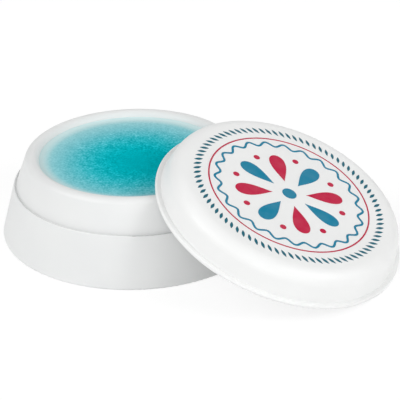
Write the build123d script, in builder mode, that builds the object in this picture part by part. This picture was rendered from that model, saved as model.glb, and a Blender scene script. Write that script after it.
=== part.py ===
from build123d import *
import math
import os

# Finger moistener: a round moulded pot filled with gel, and its lid taken off and leaning on the rim.
# Millimetres, +Z up. The origin is on the pot's axis, on the table.

# Pot
base_radius = 31.0
base_edge_round = 0.5
skirt_flare = 3.15
ledge_height = 12.35
ledge_width = 0.65
groove_depth = 0.5
shoulder_round = 0.25
neck_height = 7.05
neck_draft = 19.0
rim_width = 2.9
rim_flat = 0.15
cup_draft = 3.0
cup_corner_round = 6.0
floor_clearance = 2.0
pot_wall = 1.3
core_width = 1.0

# Gel
gel_drop = 1.5
meniscus_rise = 0.35
meniscus_width = 1.4
gel_gap = 0.05

# Lid
lid_top_thickness = 1.1
lid_wall = 1.0
lid_draft = 11.0
lid_edge_round = 3.4
pry_gap = 0.65
lip_overhang = 1.15
lip_thickness = 1.0
lip_edge_round = 0.35
mouth_edge_round = 0.25
fit_clearance = 0.1
corner_clearance = 0.2

# How the lid leans: its lip stands on the table and its mouth hangs over the pot's rim
lid_standoff = 6.36
lid_direction = -29.7
lean_gap = 0.12
floor_gap = 0.05
steepest_lean = 70.0
lean_step = 0.02

shoulder_radius = base_radius - skirt_flare
neck_radius = shoulder_radius - ledge_width
rim_height = ledge_height + neck_height
groove_bottom = ledge_height - groove_depth
neck_slope = math.tan(math.radians(neck_draft))
cup_slope = math.tan(math.radians(cup_draft))
lid_slope = math.tan(math.radians(lid_draft))


def neck_radius_at(height):
    return neck_radius - neck_slope * (height - ledge_height)


rim_outer_radius = neck_radius_at(rim_height)
cup_radius = rim_outer_radius - rim_width


def cup_radius_at(height):
    return cup_radius - cup_slope * (rim_height - height)


def skirt_radius_at(height):
    return base_radius - skirt_flare * height / ledge_height


def corner(section, radius, height):
    return section.vertices().sort_by_distance((radius, height, 0))[0]


# The rim is rounded from the neck over to the cup, but for a narrow flat at its crest.
outer_share = 1 / math.tan(math.radians(90 + neck_draft) / 2)
inner_share = 1 / math.tan(math.radians(90 + cup_draft) / 2)
rim_round = (rim_width - rim_flat) / (outer_share + inner_share)
crest_radius = rim_outer_radius - rim_round * outer_share

# The underside is cored out between the cup and the outer wall, up into the rim
# as far as the core stays wide enough.
ledge_underside = groove_bottom - pot_wall
floor_height = floor_clearance + pot_wall
rim_core_width = rim_width - 2 * pot_wall
widest_core_height = rim_height - (core_width - rim_core_width) / (neck_slope + cup_slope)
core_top = min(rim_height - pot_wall, widest_core_height)
cup_corner = (cup_radius_at(floor_height), floor_height)
cup_outer_corner = (cup_radius_at(floor_clearance) + pot_wall, floor_clearance)

with BuildPart() as pot:
    with BuildSketch(Plane.XZ) as pot_section:
        with BuildLine():
            Polyline(
                (0, 0),
                (base_radius, 0),
                (shoulder_radius, ledge_height),
                (neck_radius_at(groove_bottom), groove_bottom),
                (rim_outer_radius, rim_height),
                (cup_radius, rim_height),
                cup_corner,
                (0, floor_height),
                close=True,
            )
        make_face()
        fillet(corner(pot_section, base_radius, 0), base_edge_round)
        fillet(corner(pot_section, shoulder_radius, ledge_height), shoulder_round)
        fillet(corner(pot_section, rim_outer_radius, rim_height), rim_round)
        fillet(corner(pot_section, cup_radius, rim_height), rim_round)
        fillet(corner(pot_section, *cup_corner), cup_corner_round)
    revolve(axis=Axis.Z)
    with BuildSketch(Plane.XZ) as core_section:
        with BuildLine():
            Polyline(
                (0, 0),
                (base_radius - pot_wall, 0),
                (skirt_radius_at(ledge_underside) - pot_wall, ledge_underside),
                (neck_radius_at(ledge_underside) - pot_wall, ledge_underside),
                (neck_radius_at(core_top) - pot_wall, core_top),
                (cup_radius_at(core_top) + pot_wall, core_top),
                cup_outer_corner,
                (0, floor_clearance),
                close=True,
            )
        make_face()
        fillet(corner(core_section, *cup_outer_corner), cup_corner_round + pot_wall)
    revolve(axis=Axis.Z, mode=Mode.SUBTRACT)

# The gel fills the cup and climbs its wall a little, in a meniscus.
gel_level = rim_height - gel_drop
gel_top = gel_level + meniscus_rise
gel_edge_radius = cup_radius_at(gel_top) - gel_gap
gel_flat_radius = gel_edge_radius - meniscus_width
gel_bottom = floor_height + gel_gap
gel_corner = (cup_radius_at(gel_bottom) - gel_gap, gel_bottom)

with BuildPart() as gel:
    with BuildSketch(Plane.XZ) as gel_section:
        with BuildLine():
            Polyline(
                (gel_flat_radius, gel_level),
                (0, gel_level),
                (0, gel_bottom),
                gel_corner,
                (gel_edge_radius, gel_top),
            )
            TangentArc((gel_flat_radius, gel_level), (gel_edge_radius, gel_top), tangent=(1, 0))
        make_face()
        fillet(corner(gel_section, *gel_corner), cup_corner_round - gel_gap)
    revolve(axis=Axis.Z)

# Put on, the lid's ceiling sits on the rim's crest and its lip ends a finger-nail's gap above the ledge.
ceiling_height = neck_height - pry_gap
lid_height = ceiling_height + lid_top_thickness
mouth_radius = neck_radius_at(rim_height - ceiling_height) + fit_clearance
lip_radius = shoulder_radius + lip_overhang
lid_reach = base_radius + lid_standoff


def bore_radius_at(height):
    return mouth_radius - lid_slope * height


def skirt_outside_at(height):
    return bore_radius_at(height) + lid_wall


def lip_centre_height(lean):
    rolled_radius = lip_radius - lip_edge_round
    return floor_gap + rolled_radius * math.sin(lean) + lip_edge_round * (1 - math.cos(lean))


def rim_gap(lean_degrees):
    # The smallest gap from the rounded edge of the lid's mouth to the rounded rim.
    lean = math.radians(lean_degrees)
    edge_radius = mouth_radius + mouth_edge_round
    gaps = []
    for degrees in range(0, 181):
        up = edge_radius * math.cos(math.radians(degrees))
        across = edge_radius * math.sin(math.radians(degrees))
        out = lid_reach - up * math.cos(lean) + mouth_edge_round * math.sin(lean)
        height = lip_centre_height(lean) + up * math.sin(lean) + mouth_edge_round * math.cos(lean)
        from_crest = math.hypot(out, across) - crest_radius
        from_round = math.hypot(from_crest, height - (rim_height - rim_round))
        gaps.append(from_round - rim_round - mouth_edge_round)
    return min(gaps)


# The lid is let down from steep until its mouth rests on the rim.
lean_angle = steepest_lean
while lean_angle > 0 and rim_gap(lean_angle) > lean_gap:
    lean_angle -= lean_step

lean = math.radians(lean_angle)
swing = math.radians(lid_direction)
outward = Vector(math.cos(swing), math.sin(swing), 0)
upward = Vector(0, 0, 1)
lip_centre = outward * lid_reach + upward * lip_centre_height(lean)
lid_axis = outward * math.sin(lean) + upward * math.cos(lean)
downhill = outward * math.cos(lean) - upward * math.sin(lean)
lid_section_plane = Plane(origin=lip_centre, x_dir=downhill, z_dir=downhill.cross(lid_axis))
top_corner = (skirt_outside_at(lid_height), lid_height)
ceiling_corner = (bore_radius_at(ceiling_height), ceiling_height)

with BuildPart() as lid:
    with BuildSketch(lid_section_plane) as lid_section:
        with BuildLine():
            Polyline(
                (0, lid_height),
                top_corner,
                (skirt_outside_at(lip_thickness), lip_thickness),
                (lip_radius, lip_thickness),
                (lip_radius, 0),
                (mouth_radius, 0),
                ceiling_corner,
                (0, ceiling_height),
                close=True,
            )
        make_face()
        fillet(corner(lid_section, *top_corner), lid_edge_round)
        fillet(corner(lid_section, lip_radius, lip_thickness), lip_edge_round)
        fillet(corner(lid_section, lip_radius, 0), lip_edge_round)
        fillet(corner(lid_section, mouth_radius, 0), mouth_edge_round)
        fillet(corner(lid_section, *ceiling_corner), rim_round - corner_clearance)
    revolve(axis=Axis(lip_centre, lid_axis))

pot.part.label = "pot"
gel.part.label = "gel"
lid.part.label = "lid"

os.makedirs("parts", exist_ok=True)
export_step(pot.part, "parts/pot.step")
export_step(gel.part, "parts/gel.step")
export_step(lid.part, "parts/lid.step")
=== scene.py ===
import math

import bmesh
import bpy
from mathutils import Matrix, Vector, noise


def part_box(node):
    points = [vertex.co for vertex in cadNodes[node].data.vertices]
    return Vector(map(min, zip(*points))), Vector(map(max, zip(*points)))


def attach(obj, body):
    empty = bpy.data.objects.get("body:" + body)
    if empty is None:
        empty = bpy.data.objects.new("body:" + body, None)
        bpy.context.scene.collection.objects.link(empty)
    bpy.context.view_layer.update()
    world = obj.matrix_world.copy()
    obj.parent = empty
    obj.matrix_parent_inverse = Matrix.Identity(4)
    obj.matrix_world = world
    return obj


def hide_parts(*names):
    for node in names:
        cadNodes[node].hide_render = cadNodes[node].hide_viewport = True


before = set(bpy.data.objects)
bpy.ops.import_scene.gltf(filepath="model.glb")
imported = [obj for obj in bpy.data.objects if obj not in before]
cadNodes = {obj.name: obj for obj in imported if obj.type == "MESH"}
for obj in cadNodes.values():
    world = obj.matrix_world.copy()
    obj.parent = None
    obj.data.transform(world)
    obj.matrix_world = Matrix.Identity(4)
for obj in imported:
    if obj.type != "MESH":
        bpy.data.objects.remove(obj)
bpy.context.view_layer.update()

# Finger moistener: white pot with turquoise gel, and its lid leaning on the rim
scene = bpy.context.scene
mm = 0.001
print("frame loaded:", sorted(cadNodes))


# Small helpers for node trees
def addNode(tree, kind, settings=None, inputs=None):
    node = tree.nodes.new(kind)
    for name, value in (settings or {}).items():
        setattr(node, name, value)
    for name, value in (inputs or {}).items():
        node.inputs[name].default_value = value
    return node


def wire(tree, source, output, target, socket):
    tree.links.new(source.outputs[output], target.inputs[socket])


def newTree(name, kind, inputs, outputs):
    tree = bpy.data.node_groups.new(name, kind)
    for direction, sockets in (("INPUT", inputs), ("OUTPUT", outputs)):
        for label, socketType in sockets:
            tree.interface.new_socket(name=label, in_out=direction, socket_type=socketType)
    return tree, tree.nodes.new("NodeGroupInput"), tree.nodes.new("NodeGroupOutput")


def newMaterial(name, inputs):
    material = bpy.data.materials.new(name)
    material.use_nodes = True
    tree = material.node_tree
    shader = next(n for n in tree.nodes if n.type == "BSDF_PRINCIPLED")
    for label, value in inputs.items():
        shader.inputs[label].default_value = value
    coords = addNode(tree, "ShaderNodeTexCoord")
    return material, tree, shader, coords


# Grain and clouding that the plastic, the gel and the ink share
skinLook = {
    "grainDetail": 2.0,
    "grainRoughness": 0.55,
    "cloudDetail": 3.0,
    "cloudRoughness": 0.5,
    "noiseSpan": (0.3, 0.7),
}


def buildSkinGroup(look):
    tree, source, result = newTree(
        "skinGrain",
        "ShaderNodeTree",
        [
            ("Vector", "NodeSocketVector"),
            ("Grain Scale", "NodeSocketFloat"),
            ("Cloud Scale", "NodeSocketFloat"),
        ],
        [("Grain", "NodeSocketFloat"), ("Cloud", "NodeSocketFloat")],
    )
    for label, key in (("Grain", "grain"), ("Cloud", "cloud")):
        speck = addNode(tree, "ShaderNodeTexNoise")
        speck.inputs["Detail"].default_value = look[key + "Detail"]
        speck.inputs["Roughness"].default_value = look[key + "Roughness"]
        wire(tree, source, "Vector", speck, "Vector")
        wire(tree, source, label + " Scale", speck, "Scale")
        wire(tree, speck, "Fac", result, label)
    return tree


skinGroup = buildSkinGroup(skinLook)


def addSkin(tree, coords, grainSize, cloudSize):
    skin = addNode(tree, "ShaderNodeGroup", {"node_tree": skinGroup})
    skin.inputs["Grain Scale"].default_value = 1 / grainSize
    skin.inputs["Cloud Scale"].default_value = 1 / cloudSize
    wire(tree, coords, "Object", skin, "Vector")
    return skin


def addBump(tree, shader, heightNode, output, depth):
    bump = addNode(tree, "ShaderNodeBump", inputs={"Strength": 1.0, "Distance": depth})
    wire(tree, heightNode, output, bump, "Height")
    wire(tree, bump, "Normal", shader, "Normal")


# Stretches the noise's usual span to the values from low to high
def addSpread(tree, source, output, target, socket, low, high):
    dark, light = skinLook["noiseSpan"]
    spread = addNode(tree, "ShaderNodeMapRange", inputs={"From Min": dark, "From Max": light})
    spread.inputs["To Min"].default_value = low
    spread.inputs["To Max"].default_value = high
    wire(tree, source, output, spread, "Value")
    wire(tree, spread, "Result", target, socket)


def addRamp(tree, colours):
    ramp = addNode(tree, "ShaderNodeValToRGB")
    stops = ramp.color_ramp.elements
    while len(stops) < len(colours):
        stops.new(0.5)
    for stop, (place, colour) in zip(stops, colours):
        stop.position = place
        stop.color = (*colour, 1.0)
    return ramp


def addShareRamp(tree, shares):
    return addRamp(tree, [(place, (share, share, share)) for place, share in shares])


# Satin white moulding, for the pot and the lid, with painted shade and painted light in its creases
plasticLook = {
    "potColours": ((0.74, 0.75, 0.75, 1.0), (0.77, 0.78, 0.775, 1.0)),
    # the lid's white is set lighter than the pot's so that the lid reads brighter: painted light
    "lidColours": ((0.815, 0.82, 0.815, 1.0), (0.845, 0.85, 0.845, 1.0)),
    "grainSize": 0.45 * mm,
    "cloudSize": 14 * mm,
    "grainDepth": 0.012 * mm,
    "roughness": (0.40, 0.50),
    "paintedCreaseReach": 2.4 * mm,
    # how open the surface is, and the share of the tint that shows there: painted shade in creases
    # such as the pot's groove and the lid's lip, and painted light (shares above 1) deepest in the
    # pot's groove
    "potPaintedCreaseShading": [(0.30, 1.07), (0.50, 0.97), (0.70, 0.89), (0.88, 0.94), (1.0, 1.0)],
    "lidPaintedCreaseShading": [(0.4, 0.98), (1.0, 1.0)],
    "scatter": 0.12,
    "scatterDepth": 1.2 * mm,
    "scatterReach": (1.0, 1.0, 1.0),
    "ior": 1.49,
}


def makePlastic(nodeName, look):
    material, tree, shader, coords = newMaterial(nodeName + "Plastic", {
        "IOR": look["ior"],
        "Subsurface Weight": look["scatter"],
        "Subsurface Scale": look["scatterDepth"],
        "Subsurface Radius": look["scatterReach"],
    })
    skin = addSkin(tree, coords, look["grainSize"], look["cloudSize"])
    tint = addNode(tree, "ShaderNodeMix", {"data_type": "RGBA"})
    tint.inputs["A"].default_value, tint.inputs["B"].default_value = look[nodeName + "Colours"]
    addSpread(tree, skin, "Cloud", tint, "Factor", 0.0, 1.0)
    # Painted shade and light: ambient occlusion darkens the tint in creases and lightens it deepest
    # in the pot's groove
    crease = addNode(tree, "ShaderNodeAmbientOcclusion", {"only_local": True})
    crease.inputs["Distance"].default_value = look["paintedCreaseReach"]
    shade = addShareRamp(tree, look[nodeName + "PaintedCreaseShading"])
    shaded = addNode(tree, "ShaderNodeVectorMath", {"operation": "SCALE"})
    wire(tree, crease, "AO", shade, "Fac")
    wire(tree, tint, "Result", shaded, "Vector")
    wire(tree, shade, "Color", shaded, "Scale")
    wire(tree, shaded, "Vector", shader, "Base Color")
    addSpread(tree, skin, "Grain", shader, "Roughness", *look["roughness"])
    addBump(tree, shader, skin, "Grain", look["grainDepth"])
    return material


for nodeName in ("pot", "lid"):
    cadNodes[nodeName].data.materials.clear()
    cadNodes[nodeName].data.materials.append(makePlastic(nodeName, plasticLook))
print("white plastic on pot and lid")


# Gel: deep turquoise in the middle, paler where the cup is shallow; the deep middle is moved toward
# the lid as painted shade from the lid, and the middle tints are lightened as painted light against
# the shadow that the lid casts on the gel
gelLook = {
    "rise": 0.35 * mm,
    "edgeWidth": 1.4 * mm,
    "draft": 3.0,
    "cornerRound": 5.95 * mm,
    "edgeTuck": 0.2 * mm,
    "segments": 288,
    "rings": 80,
    "cornerSteps": 12,
    "edgeSteps": 8,
    "swellSize": 5.5 * mm,
    "swellHeight": 0.05 * mm,
    "rippleSize": 1.3 * mm,
    "rippleHeight": 0.015 * mm,
    "calmPower": 4,
    # the middle of the tints, moved toward the lid: painted shade from the lid on the gel
    "lidShadeTintCentre": (1.0 * mm, -2.0 * mm),
    "tintReach": 26 * mm,
    # the middle tints are lightened to offset the lid's cast shadow on the gel: painted light
    "tints": [
        (0.10, (0.0006, 0.445, 0.510)),
        (0.26, (0.0012, 0.463, 0.527)),
        (0.37, (0.0090, 0.483, 0.555)),
        (0.49, (0.0460, 0.503, 0.577)),
        (0.61, (0.1320, 0.540, 0.608)),
        (0.72, (0.2300, 0.588, 0.648)),
        (0.84, (0.3400, 0.645, 0.685)),
        (0.95, (0.4400, 0.700, 0.725)),
    ],
    "edgeColour": (0.60, 0.755, 0.762, 1.0),
    "edgeFade": (0.86, 1.0),
    "grainSize": 0.5 * mm,
    "cloudSize": 1.6 * mm,
    "grainTint": 0.09,
    "cloudTint": 0.04,
    "grainShade": 2.6,
    "grainPlaces": [(0.06, 0.35), (0.28, 1.0), (0.48, 0.9), (0.70, 0.4), (0.92, 0.15)],
    "grainDepth": 0.05 * mm,
    "roughness": (0.42, 0.55),
    "ior": 1.4,
    "gloss": 0.0,
}
poleRadius = 1e-6 * mm  # a profile point nearer the axis is a pole


def latheMesh(name, profile, segments):
    mesh = bpy.data.meshes.new(name)
    form = bmesh.new()
    rows = []
    for radius, height in profile:
        if radius < poleRadius:
            rows.append([form.verts.new((0, 0, height))])
            continue
        row = []
        for step in range(segments):
            angle = 2 * math.pi * step / segments
            row.append(form.verts.new((radius * math.cos(angle), radius * math.sin(angle), height)))
        rows.append(row)
    for low, high in zip(rows, rows[1:]):
        for step in range(segments):
            after = (step + 1) % segments
            if len(low) == 1:
                form.faces.new((low[0], high[after], high[step]))
            elif len(high) == 1:
                form.faces.new((low[step], low[after], high[0]))
            else:
                form.faces.new((low[step], low[after], high[after], high[step]))
    bmesh.ops.recalc_face_normals(form, faces=form.faces)
    form.to_mesh(mesh)
    form.free()
    mesh.shade_smooth()
    return mesh


def gelProfile(look, low, high):
    edgeRadius = high.x + look["edgeTuck"]
    level = high.z - look["rise"]
    slope = math.tan(math.radians(look["draft"]))
    flatRadius = edgeRadius - look["edgeWidth"]
    bottomRadius = edgeRadius - slope * (high.z - low.z)
    cornerRound = look["cornerRound"]
    cornerSteps = look["cornerSteps"]
    profile = [(0, low.z)]
    for step in range(cornerSteps + 1):
        turn = math.pi / 2 * step / cornerSteps
        radius = bottomRadius - cornerRound + cornerRound * math.sin(turn)
        profile.append((radius, low.z + cornerRound * (1 - math.cos(turn))))
    profile.append((edgeRadius, high.z))
    edgeSteps = look["edgeSteps"]
    for step in range(1, edgeSteps + 1):
        share = 1 - step / edgeSteps
        profile.append((flatRadius + look["edgeWidth"] * share, level + look["rise"] * share ** 2))
    for ring in range(1, look["rings"] + 1):
        profile.append((flatRadius * (1 - ring / look["rings"]), level))
    return profile, level, flatRadius


def addDistance(tree, coords, centre, reach):
    place = addNode(tree, "ShaderNodeMapping", {"vector_type": "TEXTURE"})
    place.inputs["Location"].default_value = (*centre, 0)
    place.inputs["Scale"].default_value = (reach, reach, reach)
    flat = addNode(tree, "ShaderNodeVectorMath", {"operation": "MULTIPLY"})
    flat.inputs[1].default_value = (1, 1, 0)
    away = addNode(tree, "ShaderNodeVectorMath", {"operation": "LENGTH"})
    wire(tree, coords, "Object", place, "Vector")
    wire(tree, place, "Vector", flat, "Vector")
    wire(tree, flat, "Vector", away, "Vector")
    return away


def makeGelMaterial(look, radius):
    shine = {"IOR": look["ior"], "Specular IOR Level": look["gloss"]}
    material, tree, shader, coords = newMaterial("gelTurquoise", shine)
    skin = addSkin(tree, coords, look["grainSize"], look["cloudSize"])
    away = addDistance(tree, coords, look["lidShadeTintCentre"], look["tintReach"])
    speckle = addNode(tree, "ShaderNodeMath", {"operation": "ADD"})
    calm = addShareRamp(tree, look["grainPlaces"])
    calmed = addNode(tree, "ShaderNodeMath", {"operation": "MULTIPLY"})
    speckled = addNode(tree, "ShaderNodeMath", {"operation": "ADD"})
    ramp = addRamp(tree, look["tints"])
    addSpread(tree, skin, "Grain", speckle, 0, -look["grainTint"], look["grainTint"])
    addSpread(tree, skin, "Cloud", speckle, 1, -look["cloudTint"], look["cloudTint"])
    wire(tree, away, "Value", calm, "Fac")
    wire(tree, speckle, "Value", calmed, 0)
    wire(tree, calm, "Color", calmed, 1)
    wire(tree, calmed, "Value", speckled, 0)
    wire(tree, away, "Value", speckled, 1)
    wire(tree, speckled, "Value", ramp, "Fac")
    shade = addNode(tree, "ShaderNodeMath", {"operation": "MULTIPLY_ADD"})
    shade.inputs[1].default_value = look["grainShade"]
    shade.inputs[2].default_value = 1.0
    shaded = addNode(tree, "ShaderNodeVectorMath", {"operation": "SCALE"})
    fromAxis = addDistance(tree, coords, (0, 0), radius)
    fade = addNode(tree, "ShaderNodeMapRange", {"interpolation_type": "SMOOTHSTEP"})
    fade.inputs["From Min"].default_value, fade.inputs["From Max"].default_value = look["edgeFade"]
    paled = addNode(tree, "ShaderNodeMix", {"data_type": "RGBA"}, {"B": look["edgeColour"]})
    wire(tree, calmed, "Value", shade, 0)
    wire(tree, ramp, "Color", shaded, "Vector")
    wire(tree, shade, "Value", shaded, "Scale")
    wire(tree, fromAxis, "Value", fade, "Value")
    wire(tree, fade, "Result", paled, "Factor")
    wire(tree, shaded, "Vector", paled, "A")
    wire(tree, paled, "Result", shader, "Base Color")
    addSpread(tree, skin, "Cloud", shader, "Roughness", *look["roughness"])
    addBump(tree, shader, skin, "Grain", look["grainDepth"])
    return material


def makeGel(look):
    low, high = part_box("gel")
    profile, level, flatRadius = gelProfile(look, low, high)
    mesh = latheMesh("gelFill", profile, look["segments"])
    for vertex in mesh.vertices:
        away = math.hypot(vertex.co.x, vertex.co.y)
        if vertex.co.z < level - look["rise"] or away > flatRadius:
            continue
        calm = 1 - (away / flatRadius) ** look["calmPower"]
        swell = noise.noise(vertex.co / look["swellSize"]) * look["swellHeight"]
        ripple = noise.noise(vertex.co / look["rippleSize"]) * look["rippleHeight"]
        vertex.co.z += (swell + ripple) * calm
    gel = bpy.data.objects.new("gelFill", mesh)
    scene.collection.objects.link(gel)
    mesh.materials.append(makeGelMaterial(look, high.x))
    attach(gel, "pot")
    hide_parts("gel")
    return gel


gel = makeGel(gelLook)
print("gel:", len(gel.data.polygons), "faces")


# Where the lid's flat top lies: its middle, its axis and the way that it slopes
lidTopLook = {
    "facing": 0.99999,
    "slack": 0.01 * mm,
}


def findLidTop(look):
    mesh = cadNodes["lid"].data
    upward = [p for p in mesh.polygons if p.normal.z > 0]
    axis = max(upward, key=lambda p: p.area).normal.copy()
    across = Vector((-axis.y, axis.x, 0)).normalized()
    downhill = across.cross(axis)
    facing = {v for p in upward if p.normal.dot(axis) > look["facing"] for v in p.vertices}
    points = [mesh.vertices[v].co for v in facing]
    topHeight = max(p.dot(axis) for p in points)
    points = [p for p in points if p.dot(axis) > topHeight - look["slack"]]
    centre = axis * topHeight
    for direction in (downhill, across):
        reach = [p.dot(direction) for p in points]
        centre += direction * (min(reach) + max(reach)) / 2
    place = Matrix((downhill, across, axis)).transposed().to_4x4()
    place.translation = centre
    return place


lidTop = findLidTop(lidTopLook)
print("lid top at", [round(x / mm, 2) for x in lidTop.translation], "mm")


# Print on the lid: a rope border, a waved ring and a rosette of drops
printLook = {
    "inkHeight": 0.03 * mm,
    "ropeRadius": 21.6 * mm,
    "ropeCount": 84,
    "ropeLength": 2.3 * mm,
    "ropeWidth": 0.72 * mm,
    "ropeSlant": 35.0,
    "ropeSteps": 8,
    "waveRadius": 16.9 * mm,
    "waveCount": 24,
    "waveHeight": 0.65 * mm,
    "waveWidth": 0.55 * mm,
    "lineRadius": 18.9 * mm,
    "lineWidth": 0.35 * mm,
    "ringSteps": 480,
    "dropCount": 4,
    "dropRadius": 8.6 * mm,
    "dropLength": 9.0 * mm,
    "dropWidth": 5.4 * mm,
    "dropPoint": 1.4,
    "dropSteps": 40,
    "beadRadius": 12.6 * mm,
    "beadSize": 0.75 * mm,
    "heartSize": 1.7 * mm,
    "dotSteps": 24,
    "tealColour": (0.003, 0.200, 0.330),
    "deepTealColour": (0.001, 0.110, 0.160),
    "crimsonColour": (0.500, 0.008, 0.052),
    "grainSize": 0.3 * mm,
    "cloudSize": 3 * mm,
    "thinning": 0.03,
    "roughness": (0.42, 0.55),
    "ior": 1.48,
    "gloss": 0.1,
}


def makeInk(name, colour, look):
    shine = {"IOR": look["ior"], "Specular IOR Level": look["gloss"]}
    material, tree, shader, coords = newMaterial(name, shine)
    skin = addSkin(tree, coords, look["grainSize"], look["cloudSize"])
    tint = addNode(tree, "ShaderNodeMix", {"data_type": "RGBA"})
    thin = [c + (1 - c) * look["thinning"] for c in colour]
    tint.inputs["A"].default_value = (*colour, 1.0)
    tint.inputs["B"].default_value = (*thin, 1.0)
    addSpread(tree, skin, "Cloud", tint, "Factor", 0.0, 1.0)
    wire(tree, tint, "Result", shader, "Base Color")
    addSpread(tree, skin, "Grain", shader, "Roughness", *look["roughness"])
    return material


def flatMark(outline, height):
    mesh = bpy.data.meshes.new("mark")
    form = bmesh.new()
    bottom = form.faces.new([form.verts.new((x, y, -height)) for x, y in outline])
    top = bmesh.ops.extrude_face_region(form, geom=[bottom])
    raised = [v for v in top["geom"] if isinstance(v, bmesh.types.BMVert)]
    bmesh.ops.translate(form, verts=raised, vec=(0, 0, 2 * height))
    bmesh.ops.recalc_face_normals(form, faces=form.faces)
    form.to_mesh(mesh)
    form.free()
    return mesh


def leafOutline(length, width, steps):
    upper = []
    for step in range(steps):
        bulge = width / 2 * math.sin(math.pi * step / steps)
        upper.append((length * (step / steps - 0.5), bulge))
    return upper + [(-x, -y) for x, y in upper]


def dropOutline(length, width, point, steps):
    outline = []
    for step in range(steps):
        turn = 2 * math.pi * step / steps
        bulge = width / 2 * math.sin(turn) * math.sin(turn / 2) ** point
        outline.append((-length / 2 * math.cos(turn), bulge))
    return outline


def dotOutline(radius, steps):
    turns = [2 * math.pi * step / steps for step in range(steps)]
    return [(radius * math.cos(t), radius * math.sin(t)) for t in turns]


def buildMarkRing():
    tree, source, result = newTree(
        "markRing",
        "GeometryNodeTree",
        [
            ("Mark", "NodeSocketGeometry"),
            ("Count", "NodeSocketInt"),
            ("Radius", "NodeSocketFloat"),
            ("Start", "NodeSocketFloat"),
            ("Turn", "NodeSocketFloat"),
            ("Ink", "NodeSocketMaterial"),
        ],
        [("Print", "NodeSocketGeometry")],
    )
    index = addNode(tree, "GeometryNodeInputIndex")
    share = addNode(tree, "ShaderNodeMath", {"operation": "DIVIDE"})
    angle = addNode(tree, "ShaderNodeMath", {"operation": "MULTIPLY_ADD"}, {1: 2 * math.pi})
    cosine = addNode(tree, "ShaderNodeMath", {"operation": "COSINE"})
    sine = addNode(tree, "ShaderNodeMath", {"operation": "SINE"})
    direction = addNode(tree, "ShaderNodeCombineXYZ")
    position = addNode(tree, "ShaderNodeVectorMath", {"operation": "SCALE"})
    points = addNode(tree, "GeometryNodePoints")
    heading = addNode(tree, "ShaderNodeMath", {"operation": "ADD"})
    spin = addNode(tree, "ShaderNodeCombineXYZ")
    marks = addNode(tree, "GeometryNodeInstanceOnPoints")
    solid = addNode(tree, "GeometryNodeRealizeInstances")
    inked = addNode(tree, "GeometryNodeSetMaterial")
    wire(tree, index, "Index", share, 0)
    wire(tree, source, "Count", share, 1)
    wire(tree, share, "Value", angle, 0)
    wire(tree, source, "Start", angle, 2)
    wire(tree, angle, "Value", cosine, 0)
    wire(tree, angle, "Value", sine, 0)
    wire(tree, cosine, "Value", direction, "X")
    wire(tree, sine, "Value", direction, "Y")
    wire(tree, direction, "Vector", position, "Vector")
    wire(tree, source, "Radius", position, "Scale")
    wire(tree, source, "Count", points, "Count")
    wire(tree, position, "Vector", points, "Position")
    wire(tree, angle, "Value", heading, 0)
    wire(tree, source, "Turn", heading, 1)
    wire(tree, heading, "Value", spin, "Z")
    wire(tree, points, "Points", marks, "Points")
    wire(tree, source, "Mark", marks, "Instance")
    wire(tree, spin, "Vector", marks, "Rotation")
    wire(tree, marks, "Instances", solid, "Geometry")
    wire(tree, solid, "Geometry", inked, "Geometry")
    wire(tree, source, "Ink", inked, "Material")
    wire(tree, inked, "Geometry", result, "Print")
    return tree


def buildWaveRing():
    tree, source, result = newTree(
        "waveRing",
        "GeometryNodeTree",
        [
            ("Mark", "NodeSocketGeometry"),  # the modifier's own mesh, which this tree doesn't use
            ("Steps", "NodeSocketInt"),
            ("Radius", "NodeSocketFloat"),
            ("Waves", "NodeSocketFloat"),
            ("Wave Height", "NodeSocketFloat"),
            ("Line Width", "NodeSocketFloat"),
            ("Ink Height", "NodeSocketFloat"),
            ("Ink", "NodeSocketMaterial"),
        ],
        [("Print", "NodeSocketGeometry")],
    )
    circle = addNode(tree, "GeometryNodeCurvePrimitiveCircle", inputs={"Radius": 1.0})
    along = addNode(tree, "GeometryNodeSplineParameter")
    fullTurn = addNode(tree, "ShaderNodeMath", {"operation": "MULTIPLY"}, {1: 2 * math.pi})
    phase = addNode(tree, "ShaderNodeMath", {"operation": "MULTIPLY"})
    swing = addNode(tree, "ShaderNodeMath", {"operation": "SINE"})
    reach = addNode(tree, "ShaderNodeMath", {"operation": "MULTIPLY_ADD"})
    place = addNode(tree, "GeometryNodeInputPosition")
    moved = addNode(tree, "ShaderNodeVectorMath", {"operation": "SCALE"})
    waved = addNode(tree, "GeometryNodeSetPosition")
    section = addNode(tree, "GeometryNodeCurvePrimitiveQuadrilateral")
    tube = addNode(tree, "GeometryNodeCurveToMesh")
    solid = addNode(tree, "GeometryNodeRealizeInstances")
    inked = addNode(tree, "GeometryNodeSetMaterial")
    wire(tree, source, "Steps", circle, "Resolution")
    wire(tree, along, "Factor", fullTurn, 0)
    wire(tree, fullTurn, "Value", phase, 0)
    wire(tree, source, "Waves", phase, 1)
    wire(tree, phase, "Value", swing, 0)
    wire(tree, swing, "Value", reach, 0)
    wire(tree, source, "Wave Height", reach, 1)
    wire(tree, source, "Radius", reach, 2)
    wire(tree, place, "Position", moved, "Vector")
    wire(tree, reach, "Value", moved, "Scale")
    wire(tree, circle, "Curve", waved, "Geometry")
    wire(tree, moved, "Vector", waved, "Position")
    wire(tree, source, "Line Width", section, "Width")
    wire(tree, source, "Ink Height", section, "Height")
    wire(tree, waved, "Geometry", tube, "Curve")
    wire(tree, section, "Curve", tube, "Profile Curve")
    wire(tree, tube, "Mesh", solid, "Geometry")
    wire(tree, solid, "Geometry", inked, "Geometry")
    wire(tree, source, "Ink", inked, "Material")
    wire(tree, inked, "Geometry", result, "Print")
    return tree


markRing = buildMarkRing()
waveRing = buildWaveRing()


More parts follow.
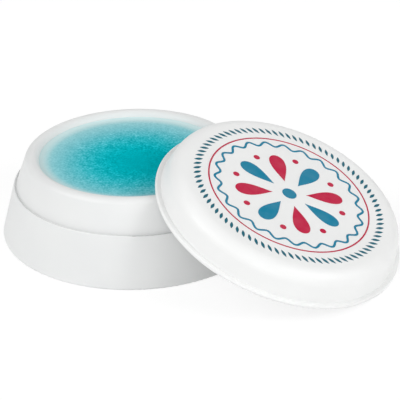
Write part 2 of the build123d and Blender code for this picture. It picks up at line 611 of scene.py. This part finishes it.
def runTree(tree, mesh, values):
    maker = bpy.data.objects.new("printMaker", mesh)
    scene.collection.objects.link(maker)
    modifier = maker.modifiers.new("print", "NODES")
    modifier.node_group = tree
    for socket in tree.interface.items_tree:
        if socket.in_out == "INPUT" and socket.name in values:
            modifier[socket.identifier] = values[socket.name]
    evaluated = maker.evaluated_get(bpy.context.evaluated_depsgraph_get())
    made = bpy.data.meshes.new_from_object(evaluated)
    bpy.data.objects.remove(maker)
    return made


def joinPrint(name, meshes, material):
    form = bmesh.new()
    for mesh in meshes:
        form.from_mesh(mesh)
        bpy.data.meshes.remove(mesh)
    mesh = bpy.data.meshes.new(name)
    bmesh.ops.recalc_face_normals(form, faces=form.faces)
    form.to_mesh(mesh)
    form.free()
    mesh.materials.clear()
    mesh.materials.append(material)
    mesh.transform(lidTop)
    piece = bpy.data.objects.new(name, mesh)
    scene.collection.objects.link(piece)
    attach(piece, "lid")
    return piece


def makePrint(look):
    teal = makeInk("tealInk", look["tealColour"], look)
    deepTeal = makeInk("deepTealInk", look["deepTealColour"], look)
    crimson = makeInk("crimsonInk", look["crimsonColour"], look)
    height = look["inkHeight"]
    dropSize = look["dropLength"], look["dropWidth"]
    rope = flatMark(leafOutline(look["ropeLength"], look["ropeWidth"], look["ropeSteps"]), height)
    drop = flatMark(dropOutline(*dropSize, look["dropPoint"], look["dropSteps"]), height)
    bead = flatMark(dotOutline(look["beadSize"], look["dotSteps"]), height)
    heart = flatMark(dotOutline(look["heartSize"], look["dotSteps"]), height)
    halfStep = math.pi / look["dropCount"]
    slant = math.radians(look["ropeSlant"])
    waves = float(look["waveCount"])

    def ring(mark, ink, count, radius, start=0.0, turn=0.0):
        values = {"Count": count, "Radius": radius, "Start": start, "Turn": turn, "Ink": ink}
        return runTree(markRing, mark, values)

    def wave(ink, radius, waves, waveHeight, width):
        values = {
            "Steps": look["ringSteps"],
            "Radius": radius,
            "Waves": waves,
            "Wave Height": waveHeight,
            "Line Width": width,
            "Ink Height": 2 * height,
            "Ink": ink,
        }
        return runTree(waveRing, bead, values)

    ropeMeshes = [
        ring(rope, deepTeal, look["ropeCount"], look["ropeRadius"], turn=slant),
    ]
    tealMeshes = [
        wave(teal, look["waveRadius"], waves, look["waveHeight"], look["waveWidth"]),
        ring(drop, teal, look["dropCount"], look["dropRadius"]),
        ring(heart, teal, 1, 0.0),
    ]
    crimsonMeshes = [
        wave(crimson, look["lineRadius"], 0.0, 0.0, look["lineWidth"]),
        ring(drop, crimson, look["dropCount"], look["dropRadius"], halfStep),
        ring(bead, crimson, 2 * look["dropCount"], look["beadRadius"], halfStep / 2),
    ]
    return [
        joinPrint("ropePrint", ropeMeshes, deepTeal),
        joinPrint("tealPrint", tealMeshes, teal),
        joinPrint("crimsonPrint", crimsonMeshes, crimson),
    ]


for piece in makePrint(printLook):
    print("print:", piece.name, len(piece.data.polygons), "faces")


# Rays that see the backdrop itself, straight or by way of gloss or glass, get their own shader
def addSeenChoice(tree, result, plain, shown):
    path = addNode(tree, "ShaderNodeLightPath")
    direct = addNode(tree, "ShaderNodeMath", {"operation": "MAXIMUM"})
    seen = addNode(tree, "ShaderNodeMath", {"operation": "MAXIMUM"})
    wire(tree, path, "Is Camera Ray", direct, 0)
    wire(tree, path, "Is Glossy Ray", direct, 1)
    wire(tree, direct, "Value", seen, 0)
    wire(tree, path, "Is Transmission Ray", seen, 1)
    choice = addNode(tree, "ShaderNodeMixShader")
    wire(tree, seen, "Value", choice, "Fac")
    wire(tree, plain, 0, choice, 1)
    wire(tree, shown, 0, choice, 2)
    wire(tree, choice, 0, result, "Surface")


# Floor: white but for the object's shadow where it is seen, plain pale to light
floorLook = {
    "size": 3.0,
    "colour": (0.92, 0.92, 0.92, 1.0),
    "glow": 0.82,
    "shadowColour": (0.22, 0.22, 0.22, 1.0),
}


def makeFloor(look):
    half = look["size"] / 2
    mesh = bpy.data.meshes.new("floor")
    corners = [(-half, -half, 0), (half, -half, 0), (half, half, 0), (-half, half, 0)]
    mesh.from_pydata(corners, [], [(0, 1, 2, 3)])
    floor = bpy.data.objects.new("floor", mesh)
    scene.collection.objects.link(floor)
    material = bpy.data.materials.new("floorPaper")
    material.use_nodes = True
    tree = material.node_tree
    tree.nodes.clear()
    result = addNode(tree, "ShaderNodeOutputMaterial")
    plain = addNode(tree, "ShaderNodeBsdfDiffuse", inputs={"Color": look["colour"]})
    shaded = addNode(tree, "ShaderNodeBsdfDiffuse", inputs={"Color": look["shadowColour"]})
    glow = addNode(tree, "ShaderNodeEmission", inputs={"Strength": look["glow"]})
    white = addNode(tree, "ShaderNodeAddShader")
    wire(tree, shaded, 0, white, 0)
    wire(tree, glow, 0, white, 1)
    addSeenChoice(tree, result, plain, white)
    mesh.materials.append(material)


makeFloor(floorLook)
print("floor laid")


# Soft studio light: an even pale room and three large lamps
lightLook = {
    "roomColour": (1.0, 1.0, 1.0, 1.0),
    "roomStrength": 0.45,
    "seenStrength": 1.0,
    "lamps": [
        {"name": "leftLamp", "place": (-0.75, -0.36, 0.71), "size": 0.7, "power": 4.8},
        {"name": "rightLamp", "place": (0.82, -0.40, 0.59), "size": 0.5, "power": 4.1},
        {"name": "frontLamp", "place": (0.01, -1.07, 0.28), "size": 0.6, "power": 2.4},
    ],
    "aim": (0.012, -0.006, 0.01),
}


def makeLight(look):
    world = bpy.data.worlds.new("studio")
    scene.world = world
    world.use_nodes = True
    tree = world.node_tree
    tree.nodes.clear()
    result = addNode(tree, "ShaderNodeOutputWorld")
    room = addNode(tree, "ShaderNodeBackground", inputs={"Color": look["roomColour"]})
    room.inputs["Strength"].default_value = look["roomStrength"]
    white = addNode(tree, "ShaderNodeBackground", inputs={"Color": look["roomColour"]})
    white.inputs["Strength"].default_value = look["seenStrength"]
    addSeenChoice(tree, result, room, white)
    for lamp in look["lamps"]:
        data = bpy.data.lights.new(lamp["name"], "AREA")
        data.shape = "DISK"
        data.size = lamp["size"]
        data.energy = lamp["power"]
        light = bpy.data.objects.new(lamp["name"], data)
        scene.collection.objects.link(light)
        light.location = lamp["place"]
        toAim = Vector(look["aim"]) - light.location
        light.rotation_euler = toAim.to_track_quat("-Z", "Y").to_euler()


makeLight(lightLook)
print("light set")


# Camera at the photograph's angle
cameraLook = {
    "aim": (15.13 * mm, 2.67 * mm, 5.31 * mm),
    "elevation": 26.8,
    "distance": 469.2 * mm,
    "roll": -0.77,
    "lens": 180.0,
    "clipStart": 20 * mm,
}


def makeCamera(look):
    data = bpy.data.cameras.new("photoCamera")
    data.lens = look["lens"]
    data.clip_start = look["clipStart"]
    camera = bpy.data.objects.new("photoCamera", data)
    scene.collection.objects.link(camera)
    tilt = Matrix.Rotation(math.radians(90 - look["elevation"]), 4, "X")
    roll = Matrix.Rotation(math.radians(look["roll"]), 4, "Z")
    back = tilt @ Vector((0, 0, 1))
    spot = Vector(look["aim"]) + back * look["distance"]
    camera.matrix_world = Matrix.Translation(spot) @ tilt @ roll
    scene.camera = camera


makeCamera(cameraLook)
scene.view_settings.view_transform = "Standard"
print("camera placed")
